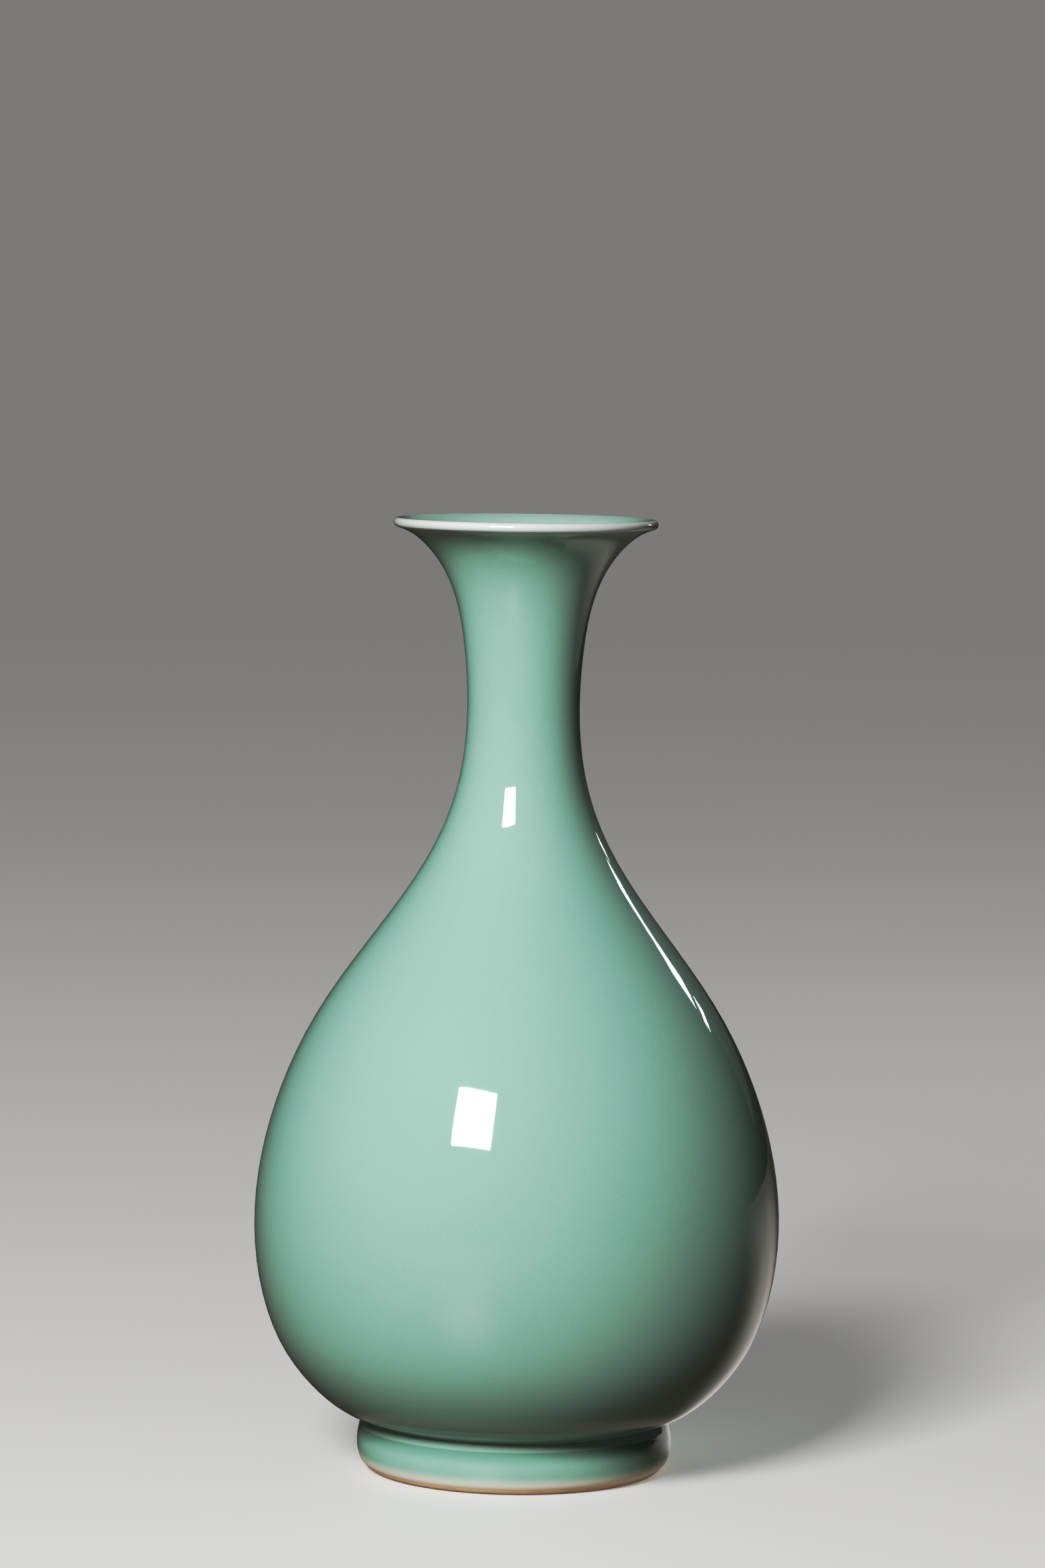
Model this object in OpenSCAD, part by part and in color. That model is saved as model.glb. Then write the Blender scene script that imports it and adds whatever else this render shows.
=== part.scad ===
// Pear-shaped porcelain vase with a flared mouth, a white rolled lip and a ring foot.
// Every piece is a ring or a bowl turned about the Z axis.
// Z = 0 is the plane that the vase stands on.

/* [Overall] */
// Height from the resting plane to the top of the lip
height = 300; // [270:1:330]
// Radius of the belly at its widest, over the glaze
belly_r = 82.5; // [76:0.5:88]
// Radius of the neck at its narrowest, over the glaze
neck_r = 17.7; // [17:0.1:22]
// Radius of the mouth over the rolled lip
mouth_r = 41.4; // [38:0.2:46]

/* [Foot ring] */
// Radius of the foot ring at its widest, over the glaze
foot_r = 49.6; // [48:0.1:52]
// Height of the crease where the belly meets the foot ring
crease_z = 16.5; // [16:0.5:18]
// Radius of the foot recess at its opening
recess_r = 39.6; // [37:0.2:41]
// Depth of the foot recess, up to its glaze
recess_depth = 10.5; // [8:0.5:11]
// Height of the bare edge at the foot of the ring
bare_edge = 1.9; // [1.6:0.1:2.3]

/* [Walls and coats] */
// Wall of the lower belly, glaze included
belly_wall = 5.6; // [4.8:0.1:6.5]
// Wall of the neck, glaze included
neck_wall = 3.8; // [3.4:0.1:4.2]
// Radius of the rolled lip, which is half its thickness
lip_r = 1.5; // [1.3:0.05:1.6]
// Thickness of every glaze coat
glaze = 0.6; // [0.4:0.05:0.7]
// Thickness of the iron wash on the bare edge
wash = 0.3; // [0.2:0.05:0.4]

/* [Luted joints] */
// Thickness of the slip in each joint
slip = 0.4; // [0.3:0.05:0.6]
// Guide number where the belly section meets the shoulder section
belly_joint = 5; // [4.75:0.25:5.5]
// Guide number where the shoulder section meets the neck section
neck_joint = 10.5; // [10:0.25:11]
// Overlap of the rebated joint, in guides
lap = 0.4; // [0.3:0.05:0.6]

/* [Hidden] */
$fn = 144;

// Short chords that each stretch between two guides is drawn with
STEPS = 4;
// Short chords that half a turn of the rolled lip is drawn with
LIP_STEPS = 12;

PORCELAIN = [0.93, 0.92, 0.88];
SLIP = [0.84, 0.82, 0.76];
CELADON = [0.60, 0.78, 0.71];
CELADON_INSIDE = [0.56, 0.74, 0.67];
LIP_WHITE = [0.90, 0.92, 0.91];
IRON_WASH = [0.75, 0.62, 0.48];

// ---------- Smooth curves ----------

// One point of a uniform cubic B-spline, t from 0 near guide b to 1 near guide c
function blend(a, b, c, d, t) =
    ((1 - t)^3 * a + (3 * t^3 - 6 * t^2 + 4) * b + (1 + 3 * t + 3 * t^2 - 3 * t^3) * c + t^3 * d) / 6;

// Guide i, with a mirrored guide beyond each end so that the curve starts and ends on a guide
function guide_at(guides, i) =
    i < 0 ? 2 * guides[0] - guides[1] :
    i < len(guides) ? guides[i] :
    2 * guides[len(guides) - 1] - guides[len(guides) - 2];

// Point of the curve at u, which counts the guides from 0
function curve_at(guides, u) =
    let (i = min(floor(u), len(guides) - 2))
    blend(guide_at(guides, i - 1), guide_at(guides, i), guide_at(guides, i + 1), guide_at(guides, i + 2), u - i);

// Points of the curve at each station
function curve(guides, stations) = [for (u = stations) curve_at(guides, u)];

// Unit normal at guide i, to the left of the way the guides run
function left_at(guides, i) =
    let (
        way = guides[min(i + 1, len(guides) - 1)] - guides[max(i - 1, 0)],
        unit = way / norm(way)
    )
    [-unit[1], unit[0]];

// The guides moved to their left, each by its own depth
function moved(guides, depths) = [for (i = [0 : len(guides) - 1]) guides[i] + depths[i] * left_at(guides, i)];

// The guides moved to their left by one depth
function moved_by(guides, depth) = moved(guides, [for (g = guides) depth]);

// Even stations along n stretches between guides
function even_stations(n) = [for (k = [0 : n * STEPS]) k / STEPS];

// The stations from one to another, both included
function between(stations, from, to) = [for (u = stations) if (u >= from && u <= to) u];

function reversed(points) = [for (i = [len(points) - 1 : -1 : 0]) points[i]];

// ---------- Outline of the body, from the crease up to the lip ----------

// Heights below are for a vase 300 high and stretch with it
function level(z) = z * height / 300;

crease_r = foot_r - 1.6;
// Slope of the flared mouth where it reaches the lip, in degrees above level
lip_slope = 17.5;
lip_along = [cos(lip_slope), sin(lip_slope)];
lip_across = [-lip_along[1], lip_along[0]];
lip_centre = [mouth_r - lip_r, height - lip_r];
lip_end = lip_centre - lip_r * lip_across;

// Guides of the outer skin, as [radius, height]
BODY = [
    [crease_r, crease_z],
    [0.680 * belly_r, crease_z + 3],
    [0.790 * belly_r, level(27)],
    [0.914 * belly_r, level(40)],
    [0.992 * belly_r, level(60)],
    [1.011 * belly_r, level(82)],
    [0.973 * belly_r, level(104)],
    [0.888 * belly_r, level(126)],
    [0.752 * belly_r, level(148)],
    [0.550 * belly_r, level(170)],
    [0.354 * belly_r, level(192)],
    [1.120 * neck_r, level(214)],
    [0.966 * neck_r, level(236)],
    [1.020 * neck_r, level(256)],
    [0.490 * mouth_r, level(272)],
    [0.600 * mouth_r, level(284)],
    [0.754 * mouth_r, level(292)],
    lip_end - 4.2 * lip_along,
    lip_end,
];
LAST = len(BODY) - 1;
// Guides 0 to 6 have the belly's wall, guides 12 to 14 the neck's, and the last the lip's
WALLS = [for (i = [0 : LAST])
    i <= 12 ? belly_wall + (neck_wall - belly_wall) * max(0, i - 6) / 6 :
    i <= 14 ? neck_wall :
    neck_wall + (2 * lip_r - neck_wall) * (i - 14) / (LAST - 14)
];

// Guides of the floor inside, from the axis to where the wall begins
FLOOR = [[0, crease_z + 0.2], [14, crease_z + 0.2], [30, crease_z + 1.4]];
// The inside has these guides before the body's own
INSIDE = len(FLOOR);

outer_clay = moved_by(BODY, glaze);
middle = moved(BODY, WALLS / 2);
inner_skin = concat(FLOOR, moved(BODY, WALLS));
inner_clay = concat([for (p = FLOOR) p - [0, glaze]], moved(BODY, [for (w = WALLS) w - glaze]));

// Half the slip's thickness at a joint, in guides
function half_slip(joint) = slip / 2 / norm(curve_at(BODY, joint + 0.5) - curve_at(BODY, joint - 0.5));

// The four stations where a joint's slip meets the skins
function joint_edges(joint) =
    let (h = half_slip(joint))
    [joint - h, joint + h, joint + lap - h, joint + lap + h];

JOINT_EDGES = concat(joint_edges(belly_joint), joint_edges(neck_joint));
// The clay's layers turn their corners at these stations, so that sections, slip and glaze fit exactly
WALL_STATIONS = [for (k = [0 : LAST * STEPS])
    each concat([k / STEPS], [for (u = JOINT_EDGES) if (u > k / STEPS && u < (k + 1) / STEPS) u])
];
FLOOR_STATIONS = [for (u = even_stations(INSIDE)) if (u < INSIDE) u];

// Stretch of a layer that has the body's own guides
function outside(layer, from, to) = curve(layer, between(WALL_STATIONS, from, to));

// Stretch of a layer that has the floor's guides before the body's
function inside(layer, from, to) = curve(layer, [for (u = between(WALL_STATIONS, from, to)) u + INSIDE]);

// The floor's stretch of such a layer
function floor_of(layer) = curve(layer, FLOOR_STATIONS);

// Where the section below a joint ends, from the outside in: its inner half stands up as a tongue
function tongue(joint) =
    let (h = half_slip(joint))
    concat(
        [curve_at(outer_clay, joint - h)],
        [for (u = between(WALL_STATIONS, joint - h, joint + lap - h)) seat(u, 1)]
    );

// Where the section above a joint starts, from the outside in: its outer half reaches down as a collar
function collar(joint) =
    let (h = half_slip(joint))
    concat(
        [curve_at(outer_clay, joint + h)],
        [for (u = between(WALL_STATIONS, joint + h, joint + lap + h)) seat(u, -1)]
    );

// Point on the lap, half the slip's thickness inward (side 1) or outward (side -1) of mid-wall
function seat(u, side) =
    let (
        out = curve_at(outer_clay, u),
        in = curve_at(inner_clay, u + INSIDE),
        inward = (in - out) / norm(in - out)
    )
    curve_at(middle, u) + side * slip / 2 * inward;

// ---------- Outline of the foot ring ----------

rest_in = recess_r + 2;
rest_out = foot_r - 5.6;
// Guides from the recess wall down to the flat that the vase stands on
HEEL = [[recess_r - 0.1, 4], [recess_r, 1.8], [recess_r + 0.3, 0], [rest_in, 0]];
// Guides from that flat up the steep bare edge and the barrel-shaped face to its top edge
FACE = [
    [rest_out, 0],
    [foot_r - 3.9, 0],
    [foot_r - 2.7, 1.5],
    [foot_r - 0.9, 3],
    [foot_r - 0.1, 6],
    [foot_r + 0.1, 9.6],
    [foot_r - 0.4, crease_z - 4.1],
    [foot_r - 0.8, crease_z - 2.5],
];
recess_top_r = recess_r - 0.5;
heel_stations = even_stations(len(HEEL) - 1);
face_stations = even_stations(len(FACE) - 1);

// Stations where the wash ends: the last ones that are still on the bare edge
heel_line = min([for (u = heel_stations) if (curve_at(HEEL, u)[1] <= bare_edge) u]);
face_line = max([for (u = face_stations) if (curve_at(FACE, u)[1] <= bare_edge) u]);

// Stretches of the heel and of the face, moved into the clay by a depth
function heel(depth, from, to) = curve(moved_by(HEEL, depth), between(heel_stations, from, to));
function face(depth, from, to) = curve(moved_by(FACE, depth), between(face_stations, from, to));
HEEL_END = len(HEEL) - 1;
FACE_END = len(FACE) - 1;

// Joint between the belly section and the foot ring
foot_joint_z = crease_z - 2.4;
joint_low = foot_joint_z - slip / 2;
joint_high = foot_joint_z + slip / 2;
bore_r = recess_top_r + glaze;
spigot_r = bore_r - slip;
clay_base_z = recess_depth + glaze;
// Top of the clay face under the joint, and the clay under the crease
face_clay = [for (p = face(glaze, face_line, FACE_END)) if (p[1] < joint_low - 0.1) p];
crease_clay = [crease_r - glaze, crease_z - 0.3];
seam_r = foot_r - 1.6;

// ---------- Porcelain sections ----------

// A closed outline turned into a solid ring or bowl
module turned(colour, outline) {
    color(colour) rotate_extrude() polygon(outline);
}

module neck_section() {
    turned(PORCELAIN, concat(
        reversed(collar(neck_joint)),
        outside(outer_clay, neck_joint + half_slip(neck_joint), LAST),
        lip_arc(lip_r - glaze),
        reversed(inside(inner_clay, neck_joint + lap + half_slip(neck_joint), LAST))
    ));
}

module shoulder_section() {
    turned(PORCELAIN, concat(
        reversed(collar(belly_joint)),
        outside(outer_clay, belly_joint + half_slip(belly_joint), neck_joint - half_slip(neck_joint)),
        tongue(neck_joint),
        reversed(inside(
            inner_clay, belly_joint + lap + half_slip(belly_joint), neck_joint + lap - half_slip(neck_joint)
        ))
    ));
}

module belly_section() {
    turned(PORCELAIN, concat(
        [[0, clay_base_z], [spigot_r, clay_base_z], [spigot_r, joint_high], [seam_r, joint_high], crease_clay],
        outside(outer_clay, 0, belly_joint - half_slip(belly_joint)),
        tongue(belly_joint),
        reversed(inside(inner_clay, 0, belly_joint + lap - half_slip(belly_joint))),
        reversed(floor_of(inner_clay))
    ));
}

module foot_ring() {
    turned(PORCELAIN, concat(
        [[bore_r, joint_low], [bore_r, clay_base_z]],
        heel(glaze, 0, heel_line),
        heel(wash, heel_line, HEEL_END),
        face(wash, 0, face_line),
        face_clay,
        [[seam_r, joint_low]]
    ));
}

// ---------- Luting slip ----------

// Stepped ring of slip that fills a rebated joint from skin to skin
module rebate_slip(joint) {
    turned(SLIP, concat(collar(joint), [curve_at(inner_clay, joint + lap + half_slip(joint) + INSIDE)],
        [curve_at(inner_clay, joint + lap - half_slip(joint) + INSIDE)], reversed(tongue(joint))));
}

module neck_luting_slip() { rebate_slip(neck_joint); }

module belly_luting_slip() { rebate_slip(belly_joint); }

module foot_luting_slip() {
    turned(SLIP, [
        [spigot_r, clay_base_z], [bore_r, clay_base_z], [bore_r, joint_low],
        [seam_r, joint_low], [seam_r, joint_high], [spigot_r, joint_high],
    ]);
}

// ---------- Glazes and wash ----------

// Half turn round the rolled lip, from its outside to its inside, without the two ends
function lip_arc(radius) = [for (k = [1 : LIP_STEPS - 1])
    let (turn = 180 * k / LIP_STEPS)
    lip_centre - radius * cos(turn) * lip_across + radius * sin(turn) * lip_along
];

module lip_glaze_band() {
    turned(LIP_WHITE, concat(
        [curve_at(BODY, LAST)], lip_arc(lip_r), [curve_at(inner_skin, LAST + INSIDE)],
        [curve_at(inner_clay, LAST + INSIDE)], reversed(lip_arc(lip_r - glaze)), [curve_at(outer_clay, LAST)]
    ));
}

module outer_glaze() {
    turned(CELADON, concat(
        face(0, face_line, FACE_END),
        curve(BODY, even_stations(LAST)),
        reversed(outside(outer_clay, 0, LAST)),
        [crease_clay, [seam_r, joint_high], [seam_r, joint_low]],
        reversed(face_clay)
    ));
}

module inner_glaze() {
    turned(CELADON_INSIDE, concat(
        floor_of(inner_clay),
        inside(inner_clay, 0, LAST),
        reversed(curve(inner_skin, even_stations(LAST + INSIDE)))
    ));
}

module base_glaze() {
    turned(CELADON_INSIDE, concat(
        [[0, recess_depth], [recess_top_r, recess_depth]],
        heel(0, 0, heel_line),
        reversed(heel(glaze, 0, heel_line)),
        [[bore_r, clay_base_z], [0, clay_base_z]]
    ));
}

module foot_wash() {
    turned(IRON_WASH, concat(
        heel(0, heel_line, HEEL_END),
        face(0, 0, face_line),
        reversed(face(wash, 0, face_line)),
        reversed(heel(wash, heel_line, HEEL_END))
    ));
}

neck_section();
shoulder_section();
belly_section();
foot_ring();
neck_luting_slip();
belly_luting_slip();
foot_luting_slip();
lip_glaze_band();
outer_glaze();
inner_glaze();
base_glaze();
foot_wash();
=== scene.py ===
"""The looks of a pear-shaped celadon porcelain vase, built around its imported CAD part.

Lengths are in metres, in the frame of the CAD part: the vase's axis is Z, and it stands on Z = 0.
"""
import logging
import math
from dataclasses import dataclass, field
from enum import Enum

import bpy
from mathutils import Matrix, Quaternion, Vector


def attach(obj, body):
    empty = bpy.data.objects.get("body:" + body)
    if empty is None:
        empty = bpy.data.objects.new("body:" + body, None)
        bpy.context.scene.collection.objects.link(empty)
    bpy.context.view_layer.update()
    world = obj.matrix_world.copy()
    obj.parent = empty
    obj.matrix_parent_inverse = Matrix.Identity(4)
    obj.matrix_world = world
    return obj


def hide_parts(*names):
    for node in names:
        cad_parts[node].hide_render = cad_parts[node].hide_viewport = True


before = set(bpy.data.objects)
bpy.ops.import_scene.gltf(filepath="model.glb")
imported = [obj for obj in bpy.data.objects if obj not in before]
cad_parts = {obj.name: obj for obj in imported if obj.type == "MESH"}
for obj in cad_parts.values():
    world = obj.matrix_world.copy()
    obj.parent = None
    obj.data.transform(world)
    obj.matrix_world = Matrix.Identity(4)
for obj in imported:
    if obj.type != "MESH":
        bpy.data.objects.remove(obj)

log = logging.getLogger("vase")

BODY_NAME = "root"
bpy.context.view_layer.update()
MM = 0.001

# Segments round a turned piece before it is subdivided
SEGMENTS = 64
SUBDIVISIONS = 2
# Edges that bend more than this stay crisp in the shading
SMOOTH_ANGLE = math.radians(12)
# Refraction of a fired glaze
GLAZE_IOR = 1.52

Point = tuple[float, float]
Colour = tuple[float, float, float]


class Ground(Enum):
    """What a glaze coat lies on, which says how it breaks in colour."""

    OUTSIDE = "outside"
    INSIDE = "inside"
    RECESS = "recess"


# ---------- Curves shared by the pieces ----------


def swell(corners: int) -> float:
    """Finds how much larger the guides of a circle are, so that it subdivides to its true size.

    Args:
        corners: how many guides the whole circle has.

    Returns:
        The guides' radius over the circle's own.
    """
    return 6 / (4 + 2 * math.cos(math.tau / corners))


def guide_directions(guides: list[Point]) -> list[Point]:
    """Finds the unit normal at each guide, to the left of the way the guides run.

    Args:
        guides: points of a guide line, as (radius, height).

    Returns:
        One unit vector for each guide.
    """
    normals = []
    for i in range(len(guides)):
        before, after = guides[max(i - 1, 0)], guides[min(i + 1, len(guides) - 1)]
        way = (after[0] - before[0], after[1] - before[1])
        length = math.hypot(*way)
        normals.append((-way[1] / length, way[0] / length))
    return normals


def moved(guides: list[Point], depths: list[float]) -> list[Point]:
    """Moves each guide to its left by its own depth.

    Args:
        guides: points of a guide line, as (radius, height).
        depths: how far to move each of them.

    Returns:
        The moved guides.
    """
    return [
        (r + depth * nr, z + depth * nz)
        for (r, z), (nr, nz), depth in zip(guides, guide_directions(guides), depths)
    ]


@dataclass(frozen=True)
class Form:
    """The vase's sizes, and the guide lines that its surfaces follow.

    The sizes and the guides are the CAD part's own.
    """

    height: float = 300 * MM
    belly_r: float = 82.5 * MM
    neck_r: float = 17.7 * MM
    mouth_r: float = 41.4 * MM
    foot_r: float = 49.6 * MM
    crease_z: float = 16.5 * MM
    recess_r: float = 39.6 * MM
    recess_depth: float = 10.5 * MM
    bare_edge: float = 1.9 * MM
    belly_wall: float = 5.6 * MM
    neck_wall: float = 3.8 * MM
    lip_r: float = 1.5 * MM
    glaze: float = 0.6 * MM
    wash: float = 0.3 * MM
    lip_slope: float = math.radians(17.5)
    # Straight stretch of the flared mouth before its rolled lip
    flare: float = 4.2 * MM
    # Radii of the guides on a level floor, from the axis out
    floor_radii: tuple[float, float] = (14 * MM, 30 * MM)

    def lip_centre(self) -> Point:
        """Gives the centre of the rolled lip's round section."""
        return self.mouth_r - self.lip_r, self.height - self.lip_r

    def lip_point(self, turn: float, radius: float) -> Point:
        """Finds a point on the rolled lip's round section.

        Args:
            turn: angle from the lip's outer end, over its edge, towards its inner end.
            radius: distance from the section's centre.

        Returns:
            The point, as (radius, height).
        """
        along = (math.cos(self.lip_slope), math.sin(self.lip_slope))
        across = (-along[1], along[0])
        r, z = self.lip_centre()
        return (
            r - radius * math.cos(turn) * across[0] + radius * math.sin(turn) * along[0],
            z - radius * math.cos(turn) * across[1] + radius * math.sin(turn) * along[1],
        )

    def body_guides(self) -> list[Point]:
        """Gives the outer skin's guides, from the crease over the foot up to the lip."""
        lip_end = self.lip_point(0, self.lip_r)
        belly, neck, mouth, up = self.belly_r, self.neck_r, self.mouth_r, self.height / 300
        return [
            (self.foot_r - 1.6 * MM, self.crease_z),
            (0.680 * belly, self.crease_z + 3 * MM),
            (0.790 * belly, 27 * up),
            (0.914 * belly, 40 * up),
            (0.992 * belly, 60 * up),
            (1.011 * belly, 82 * up),
            (0.973 * belly, 104 * up),
            (0.888 * belly, 126 * up),
            (0.752 * belly, 148 * up),
            (0.550 * belly, 170 * up),
            (0.354 * belly, 192 * up),
            (1.120 * neck, 214 * up),
            (0.966 * neck, 236 * up),
            (1.020 * neck, 256 * up),
            (0.490 * mouth, 272 * up),
            (0.600 * mouth, 284 * up),
            (0.754 * mouth, 292 * up),
            (
                lip_end[0] - self.flare * math.cos(self.lip_slope),
                lip_end[1] - self.flare * math.sin(self.lip_slope),
            ),
            lip_end,
        ]

    def walls(self) -> list[float]:
        """Gives the wall's thickness at each of the body's guides, glaze included."""
        last = len(self.body_guides()) - 1
        # Guides where the belly's wall ends, and where the neck's wall starts and ends
        belly_end, neck_start, neck_end = 6, 12, 14
        walls = []
        for i in range(last + 1):
            if i <= neck_start:
                share = max(0, i - belly_end) / (neck_start - belly_end)
                walls.append(self.belly_wall + (self.neck_wall - self.belly_wall) * share)
            elif i <= neck_end:
                walls.append(self.neck_wall)
            else:
                share = (i - neck_end) / (last - neck_end)
                walls.append(self.neck_wall + (2 * self.lip_r - self.neck_wall) * share)
        return walls

    def inside_guides(self) -> list[Point]:
        """Gives the inner skin's guides, from the floor's edge near the axis up to the lip."""
        middle, edge = self.floor_radii
        floor = [(middle, self.crease_z + 0.2 * MM), (edge, self.crease_z + 1.4 * MM)]
        return floor + moved(self.body_guides(), self.walls())

    def face_guides(self) -> list[Point]:
        """Gives the guides of the foot ring's outer face, from the flat underside up."""
        foot = self.foot_r
        return [
            (foot - 5.6 * MM, 0),
            (foot - 3.9 * MM, 0),
            (foot - 2.7 * MM, 1.5 * MM),
            (foot - 0.9 * MM, 3 * MM),
            (foot - 0.1 * MM, 6 * MM),
            (foot + 0.1 * MM, 9.6 * MM),
            (foot - 0.4 * MM, self.crease_z - 4.1 * MM),
            (foot - 0.8 * MM, self.crease_z - 2.5 * MM),
        ]

    def edge_ring(self) -> Point:
        """Gives the ring on the foot's face where the bare edge ends and the glaze starts."""
        return self.foot_r - 2.18 * MM, self.bare_edge

    def heel_guides(self) -> list[Point]:
        """Gives the guides of the foot ring's inner edge, from the recess down to the flat."""
        recess = self.recess_r
        return [
            (recess - 0.1 * MM, 4 * MM),
            (recess, 1.8 * MM),
            (recess + 0.3 * MM, 0),
            (recess + 2 * MM, 0),
        ]


# ---------- Modelling by hand ----------


def deselect_all() -> None:
    """Leaves edit mode and lets go of every object."""
    if bpy.context.object and bpy.context.object.mode != "OBJECT":
        bpy.ops.object.mode_set(mode="OBJECT")
    bpy.ops.object.select_all(action="DESELECT")


def turn_piece(name: str, outline: list[Point], closed: bool, sharp: list[Point]) -> bpy.types.Object:
    """Draws a turned piece up from one ring, by extruding and resizing it from guide to guide.

    Args:
        name: what the piece is called.
        outline: guides of its section, as (radius, height), each off the axis.
        closed: whether the last ring is bridged to the first.
        sharp: rings that stay crisp when the piece is subdivided.

    Returns:
        The new object, in object mode and selected.
    """
    deselect_all()
    # A subdivided ring shrinks a little, so every ring starts a little larger
    rings = [(r * swell(SEGMENTS), z) for r, z in outline]
    radius, level = rings[0]
    bpy.ops.mesh.primitive_circle_add(vertices=SEGMENTS, radius=radius, location=(0, 0, level))
    piece = bpy.context.object
    piece.name = piece.data.name = name
    bpy.ops.object.transform_apply(location=True, rotation=True, scale=True)
    bpy.ops.object.mode_set(mode="EDIT")
    bpy.ops.mesh.select_mode(type="EDGE")
    bpy.ops.mesh.select_all(action="SELECT")
    for new_radius, new_level in rings[1:]:
        bpy.ops.mesh.extrude_edges_move(
            TRANSFORM_OT_translate={"value": (0, 0, new_level - level)}
        )
        stretch = new_radius / radius
        bpy.ops.transform.resize(value=(stretch, stretch, 1), center_override=(0, 0, 0))
        radius, level = new_radius, new_level
    if closed:
        select_rings(piece, [rings[0], rings[-1]])
        bpy.ops.mesh.bridge_edge_loops()
    if sharp:
        select_rings(piece, [(r * swell(SEGMENTS), z) for r, z in sharp])
        bpy.ops.transform.edge_crease(value=1)
    bpy.ops.object.mode_set(mode="OBJECT")
    return piece


def select_rings(piece: bpy.types.Object, rings: list[Point], tolerance: float = 0.01 * MM) -> None:
    """Selects the edges of several rings of a turned piece, in edit mode.

    Args:
        piece: the object in edit mode.
        rings: each ring's radius and height.
        tolerance: how far from a ring a corner may be.
    """
    bpy.ops.object.mode_set(mode="OBJECT")
    for corner in piece.data.vertices:
        radius = math.hypot(corner.co.x, corner.co.y)
        corner.select = any(
            abs(radius - r) < tolerance and abs(corner.co.z - z) < tolerance for r, z in rings
        )
    for edge in piece.data.edges:
        edge.select = all(piece.data.vertices[i].select for i in edge.vertices)
    bpy.ops.object.mode_set(mode="EDIT")


def close_pole(piece: bpy.types.Object, ring: Point) -> None:
    """Closes a ring near the axis with narrowing rings that meet at its middle.

    Args:
        piece: the turned piece.
        ring: radius and height of the open ring.
    """
    radius, level = ring
    select_rings(piece, [(radius * swell(SEGMENTS), level)])
    for stretch in (0.6, 0.5):
        bpy.ops.mesh.extrude_edges_move(TRANSFORM_OT_translate={"value": (0, 0, 0)})
        bpy.ops.transform.resize(value=(stretch, stretch, 1), center_override=(0, 0, 0))
    bpy.ops.mesh.extrude_edges_move(TRANSFORM_OT_translate={"value": (0, 0, 0)})
    bpy.ops.mesh.merge(type="CENTER")
    bpy.ops.object.mode_set(mode="OBJECT")


def subdivide_piece(piece: bpy.types.Object, levels: int = SUBDIVISIONS) -> None:
    """Rounds a piece with a subdivision surface and applies it.

    Args:
        piece: the object to round.
        levels: how many times to subdivide it.
    """
    modifier = piece.modifiers.new("round", "SUBSURF")
    modifier.levels = modifier.render_levels = levels
    bpy.context.view_layer.objects.active = piece
    bpy.ops.object.modifier_apply(modifier=modifier.name)


class Side(Enum):
    """Which way the widest part of a piece faces."""

    AWAY_FROM_AXIS = 1
    TOWARDS_AXIS = -1


def turn_faces(piece: bpy.types.Object, side: Side) -> None:
    """Merges doubles and turns the faces of a piece to the side that is seen.

    Args:
        piece: the object whose faces are turned.
        side: which way its widest face has to look.
    """
    bpy.context.view_layer.objects.active = piece
    bpy.ops.object.mode_set(mode="EDIT")
    bpy.ops.mesh.select_all(action="SELECT")
    bpy.ops.mesh.remove_doubles(threshold=0.001 * MM)
    bpy.ops.mesh.normals_make_consistent(inside=False)
    bpy.ops.object.mode_set(mode="OBJECT")
    widest = max(piece.data.polygons, key=lambda face: math.hypot(face.center.x, face.center.y))
    outward = widest.normal.x * widest.center.x + widest.normal.y * widest.center.y
    if outward * side.value < 0:
        bpy.ops.object.mode_set(mode="EDIT")
        bpy.ops.mesh.select_all(action="SELECT")
        bpy.ops.mesh.flip_normals()
        bpy.ops.object.mode_set(mode="OBJECT")


def thicken(piece: bpy.types.Object, thickness: float) -> None:
    """Gives a skin its thickness, behind its faces, with an applied Solidify modifier.

    Args:
        piece: an open skin whose faces point away from the porcelain.
        thickness: how thick the coat is.
    """
    modifier = piece.modifiers.new("coat", "SOLIDIFY")
    modifier.thickness = thickness
    modifier.offset = -1
    modifier.use_even_offset = True
    bpy.context.view_layer.objects.active = piece
    bpy.ops.object.modifier_apply(modifier=modifier.name)


def hand_over(piece: bpy.types.Object, nodes: list[str]) -> None:
    """Ties a finished piece to the CAD part and reports it.

    Args:
        piece: the finished object.
        nodes: CAD nodes that it stands for.
    """
    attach(piece, BODY_NAME)
    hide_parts(*nodes)
    log.info("%s: %d faces, for %s", piece.name, len(piece.data.polygons), ", ".join(nodes))


# ---------- Finishes ----------


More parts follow.
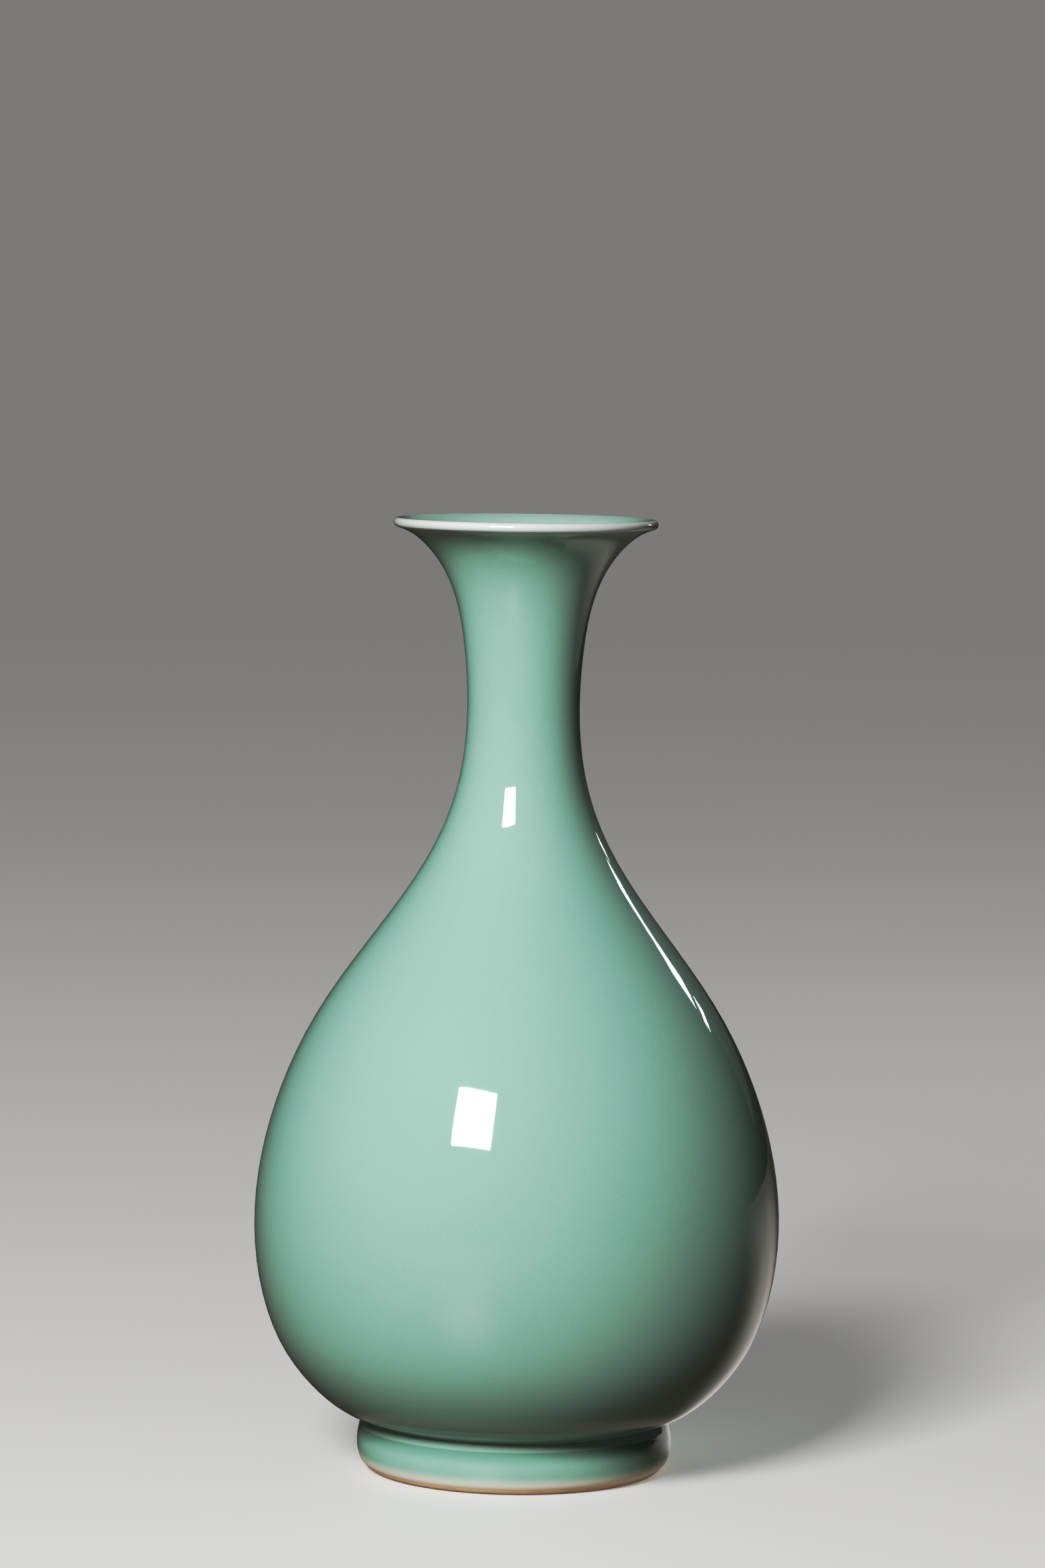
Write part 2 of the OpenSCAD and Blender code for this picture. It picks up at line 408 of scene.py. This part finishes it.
class Sheet:
    """A material's node tree, with short calls for the nodes that the finishes use."""

    def __init__(self, name: str) -> None:
        """Starts a material that holds only a Principled shader.

        Args:
            name: what the material is called.
        """
        self.material = bpy.data.materials.new(name)
        self.material.use_nodes = True
        self.tree = self.material.node_tree
        self.tree.nodes.clear()
        self.shader = self.tree.nodes.new("ShaderNodeBsdfPrincipled")
        output = self.tree.nodes.new("ShaderNodeOutputMaterial")
        self.tree.links.new(self.shader.outputs[0], output.inputs[0])
        self.place = self.tree.nodes.new("ShaderNodeTexCoord").outputs["Object"]

    def link(self, value: object, socket: bpy.types.NodeSocket) -> None:
        """Feeds a socket with another socket or with a plain value."""
        if isinstance(value, bpy.types.NodeSocket):
            self.tree.links.new(value, socket)
        else:
            socket.default_value = value

    def math(self, operation: str, a: object, b: object = 0.0) -> bpy.types.NodeSocket:
        """Works out one sum.

        Args:
            operation: name of the Math node's operation.
            a: first value or socket.
            b: second value or socket.

        Returns:
            The result's socket.
        """
        node = self.tree.nodes.new("ShaderNodeMath")
        node.operation = operation
        self.link(a, node.inputs[0])
        self.link(b, node.inputs[1])
        return node.outputs[0]

    def height(self) -> bpy.types.NodeSocket:
        """Gives the height above the resting plane."""
        node = self.tree.nodes.new("ShaderNodeSeparateXYZ")
        self.link(self.place, node.inputs[0])
        return node.outputs[2]

    def ramp(self, value: object, low: float, high: float, start: float, end: float) -> bpy.types.NodeSocket:
        """Maps a value smoothly from one range to another and holds it there.

        Args:
            value: the value's socket.
            low: where the change starts.
            high: where it ends.
            start: result at low and below.
            end: result at high and above.

        Returns:
            The result's socket.
        """
        node = self.tree.nodes.new("ShaderNodeMapRange")
        node.interpolation_type = "SMOOTHSTEP"
        self.link(value, node.inputs["Value"])
        self.link(low, node.inputs["From Min"])
        self.link(high, node.inputs["From Max"])
        self.link(start, node.inputs["To Min"])
        self.link(end, node.inputs["To Max"])
        return node.outputs[0]

    def belt(self, level: object, belt: "Belt") -> bpy.types.NodeSocket:
        """Gives a belt's share of colour at each height.

        Args:
            level: the height's socket.
            belt: where the belt comes in and goes out, and how strong it is.

        Returns:
            The share's socket.
        """
        comes = self.ramp(level, *belt.comes_in, 0.0, belt.share)
        goes = self.ramp(level, *belt.goes_out, 1.0, 0.0)
        return self.math("MULTIPLY", comes, goes)

    def noise(self, size: float, detail: float = 2.0, roughness: float = 0.5) -> bpy.types.NodeSocket:
        """Makes an even noise.

        Args:
            size: width of its largest spots, in metres.
            detail: how many finer octaves it has.
            roughness: how strong those are.

        Returns:
            The noise's socket, about 0.5 on average.
        """
        node = self.tree.nodes.new("ShaderNodeTexNoise")
        self.link(self.place, node.inputs["Vector"])
        node.inputs["Scale"].default_value = 1 / size
        node.inputs["Detail"].default_value = detail
        node.inputs["Roughness"].default_value = roughness
        return node.outputs["Fac"]

    def mix(self, share: object, a: object, b: object) -> bpy.types.NodeSocket:
        """Mixes two colours.

        Args:
            share: how much of the second one there is.
            a: first colour or socket.
            b: second colour or socket.

        Returns:
            The mixed colour's socket.
        """
        node = self.tree.nodes.new("ShaderNodeMix")
        node.data_type = "RGBA"
        self.link(share, node.inputs["Factor"])
        for value, socket in ((a, node.inputs["A"]), (b, node.inputs["B"])):
            self.link(value if isinstance(value, bpy.types.NodeSocket) else (*value, 1.0), socket)
        return node.outputs["Result"]

    def bump(self, height: object, depth: float) -> None:
        """Gives the shader a relief.

        Args:
            height: relief socket, from 0 to 1.
            depth: how deep the relief is, in metres.
        """
        node = self.tree.nodes.new("ShaderNodeBump")
        node.inputs["Strength"].default_value = 1.0
        node.inputs["Distance"].default_value = depth
        self.link(height, node.inputs["Height"])
        self.link(node.outputs[0], self.shader.inputs["Normal"])


@dataclass(frozen=True)
class Belt:
    """A belt round the vase, between two soft edges, where the glaze changes its colour."""

    comes_in: tuple[float, float]
    goes_out: tuple[float, float]
    share: float
    colour: Colour


@dataclass(frozen=True)
class CeladonGlaze:
    """Blue-green glaze without crackle, that thins to white on the edges, and is darker round the foot's
    crease, partly from glaze pooled thick and partly as painted shade, with a belt of painted light on the
    crease.
    """

    ground: Ground
    form: Form
    colour: Colour = (0.370, 0.590, 0.505)
    pale: Colour = (0.405, 0.620, 0.535)
    pooled: Colour = (0.290, 0.500, 0.410)
    # Pale glaze where it runs thin at the lip; on the crease's shaded band it is painted light
    thin: Colour = (0.700, 0.760, 0.725)
    # Deep green of glaze pooled thick round the crease, which also serves as painted shade under the belly's
    # overhang
    rolled: Colour = (0.130, 0.270, 0.210)
    bare: Colour = (0.930, 0.900, 0.810)
    roughness: float = 0.035
    # Height where the foot's paling ends, over the bare edge
    paling_top: float = 6.5 * MM
    # Heights between which the glaze thins under the lip, and how far, outside and inside
    lip_outside: tuple[float, float, float] = (294.5 * MM, 297.3 * MM, 0.85)
    lip_inside: tuple[float, float, float] = (294 * MM, 300 * MM, 0.32)
    relief: float = 0.007 * MM

    def crease_pooling_and_painted_light(self) -> list[Belt]:
        """Gives the belts under, on and over the crease: darker belts under and over it, for glaze pooled
        thick and for painted shade, and a pale belt of painted light on it.
        """
        crease = self.form.crease_z
        return [
            # Under the crease: glaze pooled thick, and painted shade where the belly's overhang shades the
            # top of the foot's face
            Belt(
                (9 * MM, crease - 3.2 * MM), (crease - 2.8 * MM, crease - 2.4 * MM), 0.55, self.rolled
            ),
            # On the crease: painted light, a paler belt that brightens the band that the belly shades
            Belt(
                (crease - 2.8 * MM, crease - 2.2 * MM), (crease - 0.2 * MM, crease), 0.2, self.thin
            ),
            # Over the crease: glaze pooled thick, and painted shade on the belly's underside
            Belt(
                (crease + 0.5 * MM, crease + 2 * MM), (crease + 4 * MM, crease + 9 * MM), 0.3, self.rolled
            ),
        ]

    def thin_at_lip(self, sheet: Sheet, colour: object, lip: tuple[float, float, float]) -> object:
        """Thins the glaze towards the lip.

        Args:
            sheet: the material's node tree.
            colour: the glaze's colour so far.
            lip: heights where the thinning starts and ends, and its share at the end.

        Returns:
            The new colour's socket.
        """
        start, end, share = lip
        return sheet.mix(sheet.ramp(sheet.height(), start, end, 0.0, share), colour, self.thin)

    def build(self) -> bpy.types.Material:
        """Makes the material.

        Returns:
            The new material.
        """
        sheet = Sheet(f"celadon_{self.ground.value}")
        cloud = sheet.ramp(sheet.noise(60 * MM, 3), 0.35, 0.65, 0.0, 1.0)
        grain = sheet.ramp(sheet.noise(0.8 * MM, 4, 0.65), 0.3, 0.7, 0.0, 1.0)
        colour = sheet.mix(sheet.math("MULTIPLY", cloud, 0.22), self.colour, self.pale)
        colour = sheet.mix(sheet.math("MULTIPLY", grain, 0.22), colour, self.pooled)
        if self.ground is Ground.OUTSIDE:
            level = sheet.height()
            # Glaze pooled round the crease, with painted shade under and over it and painted light on it
            for belt in self.crease_pooling_and_painted_light():
                colour = sheet.mix(sheet.belt(level, belt), colour, belt.colour)
            foot = sheet.ramp(level, self.form.bare_edge, self.paling_top, 1.0, 0.0)
            colour = sheet.mix(foot, colour, self.bare)
            colour = self.thin_at_lip(sheet, colour, self.lip_outside)
        elif self.ground is Ground.INSIDE:
            colour = self.thin_at_lip(sheet, colour, self.lip_inside)
        sheet.link(colour, sheet.shader.inputs["Base Color"])
        smears = sheet.ramp(sheet.noise(25 * MM, 4, 0.6), 0.35, 0.75, self.roughness, 1.5 * self.roughness)
        sheet.link(smears, sheet.shader.inputs["Roughness"])
        sheet.shader.inputs["IOR"].default_value = GLAZE_IOR
        sheet.shader.inputs["Subsurface Weight"].default_value = 0.12
        sheet.shader.inputs["Subsurface Radius"].default_value = (1.0, 1.0, 1.0)
        sheet.shader.inputs["Subsurface Scale"].default_value = 1.2 * MM
        waves = sheet.noise(7 * MM, 2)
        peel = sheet.noise(1.6 * MM, 2)
        relief = sheet.math("ADD", sheet.math("MULTIPLY", waves, 0.75), sheet.math("MULTIPLY", peel, 0.25))
        sheet.bump(relief, self.relief)
        return sheet.material


@dataclass(frozen=True)
class LipGlaze:
    """White glaze on the rolled lip, where the green has run thin."""

    white: Colour = (0.760, 0.790, 0.775)
    tint: Colour = (0.560, 0.700, 0.640)
    roughness: float = 0.06
    # Heights between which the last of the green fades out
    tint_fades: tuple[float, float] = (297.1 * MM, 297.9 * MM)

    def build(self) -> bpy.types.Material:
        """Makes the material.

        Returns:
            The new material.
        """
        sheet = Sheet("lip_white")
        low = sheet.ramp(sheet.height(), *self.tint_fades, 0.6, 0.0)
        colour = sheet.mix(low, self.white, self.tint)
        uneven = sheet.ramp(sheet.noise(6 * MM, 3), 0.35, 0.7, 0.0, 0.18)
        colour = sheet.mix(uneven, colour, self.tint)
        sheet.link(colour, sheet.shader.inputs["Base Color"])
        sheet.shader.inputs["Roughness"].default_value = self.roughness
        sheet.shader.inputs["IOR"].default_value = GLAZE_IOR
        sheet.bump(sheet.noise(2.5 * MM, 2), 0.008 * MM)
        return sheet.material


@dataclass(frozen=True)
class IronWash:
    """Matt tan wash on the bare edge of the foot."""

    tan: Colour = (0.920, 0.740, 0.560)
    rust: Colour = (0.790, 0.590, 0.410)
    roughness: float = 0.75

    def build(self) -> bpy.types.Material:
        """Makes the material.

        Returns:
            The new material.
        """
        sheet = Sheet("iron_wash")
        patches = sheet.ramp(sheet.noise(5 * MM, 4, 0.6), 0.4, 0.7, 0.0, 0.7)
        colour = sheet.mix(patches, self.tan, self.rust)
        grain = sheet.noise(0.4 * MM, 3)
        colour = sheet.mix(sheet.math("MULTIPLY", grain, 0.3), colour, self.rust)
        sheet.link(colour, sheet.shader.inputs["Base Color"])
        sheet.shader.inputs["Roughness"].default_value = self.roughness
        sheet.bump(grain, 0.05 * MM)
        return sheet.material


@dataclass(frozen=True)
class FiredClay:
    """Bare fired clay, for the sections and for the slip that joins them."""

    name: str
    colour: Colour
    speck: Colour
    roughness: float = 0.7

    def build(self) -> bpy.types.Material:
        """Makes the material.

        Returns:
            The new material.
        """
        sheet = Sheet(self.name)
        grain = sheet.noise(0.6 * MM, 4, 0.6)
        colour = sheet.mix(sheet.ramp(grain, 0.5, 0.8, 0.0, 0.5), self.colour, self.speck)
        sheet.link(colour, sheet.shader.inputs["Base Color"])
        sheet.shader.inputs["Roughness"].default_value = self.roughness
        sheet.bump(grain, 0.04 * MM)
        return sheet.material


# ---------- The vase's sub-assemblies ----------


@dataclass
class OuterCoat:
    """The celadon coat on the outside, from the foot's bare edge up to the lip."""

    form: Form
    nodes: list[str] = field(default_factory=lambda: ["outer_glaze"])
    slot: str = "celadon_glaze"

    def guides(self) -> tuple[list[Point], list[Point]]:
        """Gives the coat's guides and those of them that stay crisp."""
        face = [self.form.edge_ring(), *self.form.face_guides()[3:]]
        body = self.form.body_guides()
        return face + body, [face[-1], body[0]]

    def build(self) -> bpy.types.Object:
        """Models the coat.

        Returns:
            The finished piece.
        """
        outline, crisp = self.guides()
        piece = turn_piece("celadon_coat", outline, False, crisp)
        subdivide_piece(piece)
        turn_faces(piece, Side.AWAY_FROM_AXIS)
        thicken(piece, self.form.glaze)
        bpy.ops.object.shade_smooth_by_angle(angle=SMOOTH_ANGLE)
        piece.data.materials.append(CeladonGlaze(Ground.OUTSIDE, self.form).build())
        hand_over(piece, self.nodes)
        return piece


@dataclass
class InnerCoat:
    """The celadon coat inside, from the floor up to the lip."""

    form: Form
    nodes: list[str] = field(default_factory=lambda: ["inner_glaze"])
    slot: str = "celadon_glaze_inside"

    def build(self) -> bpy.types.Object:
        """Models the coat.

        Returns:
            The finished piece.
        """
        outline = self.form.inside_guides()
        piece = turn_piece("celadon_lining", outline, False, [])
        close_pole(piece, outline[0])
        subdivide_piece(piece)
        turn_faces(piece, Side.TOWARDS_AXIS)
        thicken(piece, self.form.glaze)
        bpy.ops.object.shade_smooth_by_angle(angle=SMOOTH_ANGLE)
        piece.data.materials.append(CeladonGlaze(Ground.INSIDE, self.form).build())
        hand_over(piece, self.nodes)
        return piece


@dataclass
class RolledLip:
    """The white glaze over the rolled lip."""

    form: Form
    steps: int = 8
    nodes: list[str] = field(default_factory=lambda: ["lip_glaze_band"])
    slot: str = "lip_glaze"

    def build(self) -> bpy.types.Object:
        """Models the band as a half round strip, bridged along its two edges.

        Returns:
            The finished piece.
        """
        turns = [math.pi * k / self.steps for k in range(self.steps + 1)]
        # Guides of a round section lie a little outside it
        guide_r = self.form.lip_r * swell(2 * self.steps)
        outer = [self.form.lip_point(t, guide_r) for t in turns[1:-1]]
        inner = [self.form.lip_point(t, self.form.lip_r - self.form.glaze) for t in reversed(turns)]
        ends = [self.form.lip_point(t, self.form.lip_r) for t in (0.0, math.pi)]
        outline = [ends[0], *outer, ends[1], *inner]
        piece = turn_piece("white_lip", outline, True, [ends[0], ends[1], inner[0], inner[-1]])
        subdivide_piece(piece)
        turn_faces(piece, Side.AWAY_FROM_AXIS)
        bpy.ops.object.shade_smooth_by_angle(angle=SMOOTH_ANGLE)
        piece.data.materials.append(LipGlaze().build())
        hand_over(piece, self.nodes)
        return piece


@dataclass
class FootEdge:
    """The bare edge that the vase stands on, with its tan wash."""

    form: Form
    nodes: list[str] = field(default_factory=lambda: ["foot_wash"])
    slot: str = "iron_wash"

    def build(self) -> bpy.types.Object:
        """Models the wash as a shallow channel round the foot's underside.

        Returns:
            The finished piece.
        """
        form = self.form
        outline = [*form.heel_guides()[1:], *form.face_guides()[:2], form.edge_ring()]
        piece = turn_piece("tan_foot_edge", outline, False, [])
        subdivide_piece(piece)
        turn_faces(piece, Side.AWAY_FROM_AXIS)
        thicken(piece, form.wash)
        bpy.ops.object.shade_smooth_by_angle(angle=SMOOTH_ANGLE)
        piece.data.materials.append(IronWash().build())
        hand_over(piece, self.nodes)
        return piece


@dataclass
class RecessCoat:
    """The celadon coat on the ceiling and the wall of the foot's recess."""

    form: Form
    nodes: list[str] = field(default_factory=lambda: ["base_glaze"])
    slot: str = "celadon_glaze_inside"

    def build(self) -> bpy.types.Object:
        """Models the coat as a shallow upturned dish.

        Returns:
            The finished piece.
        """
        form = self.form
        wall_r = form.recess_r - 0.5 * MM
        outline = [
            *((radius, form.recess_depth) for radius in form.floor_radii),
            (wall_r - 2 * MM, form.recess_depth),
            (wall_r - 0.1 * MM, form.recess_depth - 0.2 * MM),
            (wall_r, form.recess_depth - 2 * MM),
            *form.heel_guides()[:2],
        ]
        piece = turn_piece("recess_coat", outline, False, [])
        close_pole(piece, outline[0])
        subdivide_piece(piece)
        turn_faces(piece, Side.TOWARDS_AXIS)
        thicken(piece, form.glaze)
        bpy.ops.object.shade_smooth_by_angle(angle=SMOOTH_ANGLE)
        piece.data.materials.append(CeladonGlaze(Ground.RECESS, form).build())
        hand_over(piece, self.nodes)
        return piece


@dataclass
class ClayBody:
    """The porcelain sections and their slip, which keep their CAD shapes under the glaze."""

    sections: tuple[str, ...] = ("neck_section", "shoulder_section", "belly_section", "foot_ring")
    slips: tuple[str, ...] = ("neck_luting_slip", "belly_luting_slip", "foot_luting_slip")

    def dress(self) -> None:
        """Gives each hidden clay piece its fired finish."""
        porcelain = FiredClay("fired_porcelain", (0.80, 0.78, 0.72), (0.62, 0.58, 0.50)).build()
        slip = FiredClay("fired_slip", (0.70, 0.67, 0.58), (0.50, 0.45, 0.36)).build()
        for names, material in ((self.sections, porcelain), (self.slips, slip)):
            for name in names:
                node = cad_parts[name]
                node.data.materials.clear()
                node.data.materials.append(material)
                log.info("%s: CAD shape kept", name)


# ---------- The studio ----------


@dataclass(frozen=True)
class SoftLight:
    """A square studio lamp that looks at the vase.

    Its azimuth is in degrees from the front towards the right, its elevation in degrees above level.
    """

    name: str
    azimuth: float
    elevation: float
    distance: float
    size: tuple[float, float]
    power: float
    colour: Colour = (1.0, 1.0, 1.0)
    aim_z: float = 0.14

    def build(self) -> bpy.types.Object:
        """Adds the lamp.

        Returns:
            The lamp's object.
        """
        turn, rise = math.radians(self.azimuth), math.radians(self.elevation)
        away = Vector((math.sin(turn) * math.cos(rise), -math.cos(turn) * math.cos(rise), math.sin(rise)))
        place = Vector((0, 0, self.aim_z)) + away * self.distance
        deselect_all()
        bpy.ops.object.light_add(type="AREA", location=place)
        lamp = bpy.context.object
        lamp.name = self.name
        lamp.rotation_mode = "QUATERNION"
        lamp.rotation_quaternion = away.to_track_quat("Z", "Y")
        lamp.data.shape = "RECTANGLE"
        lamp.data.size, lamp.data.size_y = self.size
        lamp.data.energy = self.power
        lamp.data.color = self.colour
        lamp.visible_camera = False
        return lamp


@dataclass
class Studio:
    """A pale floor, soft lamps, a quiet surround and the camera."""

    floor_size: float = 11.0
    floor_colour: Colour = (0.72, 0.71, 0.70)
    floor_glow: float = 0.34
    dome_radius: float = 5.4
    dome_glow: float = 0.363
    table_size: float = 3.0
    table_depth: float = 0.2 * MM
    table_colour: Colour = (0.105, 0.074, 0.050)
    table_roughness: float = 0.38
    surround: Colour = (0.012, 0.012, 0.012)
    glare_azimuth: float = 134.0
    glare: float = 0.75
    glare_colour: Colour = (1.0, 0.94, 0.90)
    foot_glow_colour: Colour = (0.34, 0.29, 0.24)
    lens: float = 135.0
    camera_distance: float = 1.8373
    camera_height: float = 0.3694
    camera_pitch: float = 4.75
    camera_roll: float = 0.776
    tone: tuple[Point, ...] = ((0.0, 0.0), (0.2, 0.13), (0.4, 0.392), (0.62, 0.604), (1.0, 0.88))

    def build_floor(self) -> None:
        """Adds the pale floor, and the dark table top that the glaze mirrors in its place."""
        floor = self.build_plane("floor", 0.0, self.floor_size)
        self.paint_stage(floor, self.floor_colour, 0.6, self.floor_glow)
        floor.visible_diffuse = floor.visible_glossy = floor.visible_shadow = False
        table = self.build_plane("mirrored_table", -self.table_depth, self.table_size)
        self.paint_table(table)
        table.visible_camera = False

    def paint_table(self, table: bpy.types.Object) -> None:
        """Paints the table top dark, with a far window's long glare and a glow round the foot.

        Args:
            table: the table top.
        """
        sheet = Sheet("window_glare")
        turned = sheet.tree.nodes.new("ShaderNodeMapping")
        turned.inputs["Rotation"].default_value = (0, 0, -math.radians(self.glare_azimuth))
        sheet.link(sheet.place, turned.inputs["Vector"])
        parts = sheet.tree.nodes.new("ShaderNodeSeparateXYZ")
        sheet.link(turned.outputs[0], parts.inputs[0])
        across, along = parts.outputs[0], sheet.math("MULTIPLY", parts.outputs[1], -1.0)
        share = self.glare_share(sheet, across, along)
        glow = sheet.mix(share, (0.0, 0.0, 0.0), self.glare_colour)
        glow = sheet.mix(self.foot_glow_share(sheet, across, along), glow, self.foot_glow_colour)
        sheet.link(glow, sheet.shader.inputs["Emission Color"])
        sheet.shader.inputs["Base Color"].default_value = (*self.table_colour, 1.0)
        sheet.shader.inputs["Roughness"].default_value = self.table_roughness
        sheet.shader.inputs["Emission Strength"].default_value = self.glare
        table.data.materials.append(sheet.material)

    def glare_share(self, sheet: Sheet, across: object, along: object) -> bpy.types.NodeSocket:
        """Shapes the window's glare as a wedge that widens away from the vase.

        Args:
            sheet: the table's node tree.
            across: distance to the side of the wedge's middle line.
            along: distance from the axis along that line.

        Returns:
            The glare's share, from 0 to 1.
        """
        tip_behind = 120 * MM
        reach = sheet.math("ADD", along, tip_behind)
        aside = sheet.math("DIVIDE", sheet.math("ABSOLUTE", across), reach)
        narrow = sheet.ramp(aside, 0.06, 0.38, 1.0, 0.0)
        ahead = sheet.ramp(along, 20 * MM, 80 * MM, 0.0, 1.0)
        fade = sheet.ramp(along, 150 * MM, 1500 * MM, 1.0, 0.35)
        return sheet.math("MULTIPLY", sheet.math("MULTIPLY", narrow, ahead), fade)

    def foot_glow_share(self, sheet: Sheet, across: object, along: object) -> bpy.types.NodeSocket:
        """Shapes the glow round the foot as a ring with soft edges.

        Args:
            sheet: the table's node tree.
            across: distance from the axis one way.
            along: distance from the axis the other way.

        Returns:
            The glow's share, from 0 to 1.
        """
        squares = sheet.math("ADD", sheet.math("POWER", across, 2.0), sheet.math("POWER", along, 2.0))
        ring = Belt((45 * MM, 48 * MM), (53 * MM, 62 * MM), 1.0, self.foot_glow_colour)
        return sheet.belt(sheet.math("SQRT", squares), ring)

    def build_dome(self) -> None:
        """Adds an even backdrop all round, which nothing but the camera sees."""
        deselect_all()
        bpy.ops.mesh.primitive_uv_sphere_add(segments=96, ring_count=48, radius=self.dome_radius)
        dome = bpy.context.object
        dome.name = "backdrop"
        bpy.ops.object.shade_smooth()
        self.paint_stage(dome, (0.0, 0.0, 0.0), 1.0, self.dome_glow)
        dome.visible_diffuse = dome.visible_glossy = dome.visible_shadow = False
        dome.visible_transmission = False

    def build_plane(self, name: str, level: float, size: float) -> bpy.types.Object:
        """Adds one level plane.

        Args:
            name: what the plane is called.
            level: its height.
            size: length of its sides.

        Returns:
            The plane's object.
        """
        deselect_all()
        bpy.ops.mesh.primitive_plane_add(size=size, location=(0, 0, level))
        plane = bpy.context.object
        plane.name = name
        bpy.ops.object.transform_apply(location=True, rotation=True, scale=True)
        return plane

    def paint_stage(self, thing: bpy.types.Object, colour: Colour, roughness: float, glow: float) -> None:
        """Paints a floor or a backdrop in one plain colour.

        Args:
            thing: the object to paint.
            colour: its even colour.
            roughness: how dull it is.
            glow: how bright it is with no lamp on it.
        """
        shader = Sheet(thing.name).shader
        shader.inputs["Base Color"].default_value = (*colour, 1.0)
        shader.inputs["Roughness"].default_value = roughness
        shader.inputs["Emission Color"].default_value = (*self.floor_colour, 1.0)
        shader.inputs["Emission Strength"].default_value = glow
        thing.data.materials.append(bpy.data.materials[thing.name])

    def build_lights(self) -> None:
        """Adds the key lamp, the window's two panes, the warm room, the fill and the even surround."""
        SoftLight("key", -22.3, 30.5, 2.0, (0.61, 0.52), 44.5).build()
        for name, elevation, rise in (("low_pane", 13.25, 0.045), ("high_pane", 17.8, 0.11)):
            SoftLight(name, 140.5, elevation, 1.6, (0.15, rise), 3.6 * rise, aim_z=0.18).build()
        room = SoftLight("room", 160, 14, 2.6, (1.6, 1.2), 0.5, (1.0, 0.92, 0.84)).build()
        room.visible_diffuse = False
        self.build_fill()
        world = bpy.data.worlds.new("surround")
        world.use_nodes = True
        world.node_tree.nodes["Background"].inputs["Color"].default_value = (*self.surround, 1.0)
        bpy.context.scene.world = world

    def build_fill(self) -> None:
        """Adds a lamp that lights the vase's back, and neither shows in the glaze nor on the floor."""
        fill = SoftLight("back_fill", 180, 32, 3.0, (2.2, 1.6), 34.0).build()
        fill.visible_glossy = False
        unlit = bpy.data.collections.new("unlit_from_behind")
        unlit.objects.link(bpy.data.objects["floor"])
        fill.light_linking.receiver_collection = unlit
        unlit.collection_objects[0].light_linking.link_state = "EXCLUDE"

    def build_camera(self) -> None:
        """Adds the camera, a little above the vase's mouth and a little tilted."""
        deselect_all()
        bpy.ops.object.camera_add(location=(0, -self.camera_distance, self.camera_height))
        camera = bpy.context.object
        camera.name = "camera"
        camera.data.lens = self.lens
        camera.data.sensor_width = 36.0
        camera.data.clip_start = 0.05
        look = Quaternion((1, 0, 0), math.radians(90 - self.camera_pitch))
        roll = Quaternion((0, 0, 1), math.radians(self.camera_roll))
        camera.rotation_mode = "QUATERNION"
        camera.rotation_quaternion = look @ roll
        bpy.context.scene.camera = camera

    def build(self) -> None:
        """Sets up the whole studio."""
        self.build_floor()
        self.build_dome()
        self.build_lights()
        self.build_camera()
        self.set_contrast()
        log.info("studio: floor, lamps and camera")

    def set_contrast(self) -> None:
        """Gives the picture a camera's gentle contrast: deeper shadows and softer highlights."""
        view = bpy.context.scene.view_settings
        view.view_transform = "Standard"
        view.use_curve_mapping = True
        curve = view.curve_mapping.curves[3]
        for x, y in self.tone[1:-1]:
            curve.points.new(x, y)
        curve.points[-1].location = self.tone[-1]
        view.curve_mapping.update()


def main() -> None:
    """Builds the vase from the inside out, then the studio round it."""
    logging.basicConfig(level=logging.INFO, format="%(message)s")
    form = Form()
    ClayBody().dress()
    for part in (OuterCoat(form), InnerCoat(form), RolledLip(form), FootEdge(form), RecessCoat(form)):
        part.build()
    Studio().build()


if __name__ == "__main__":
    main()
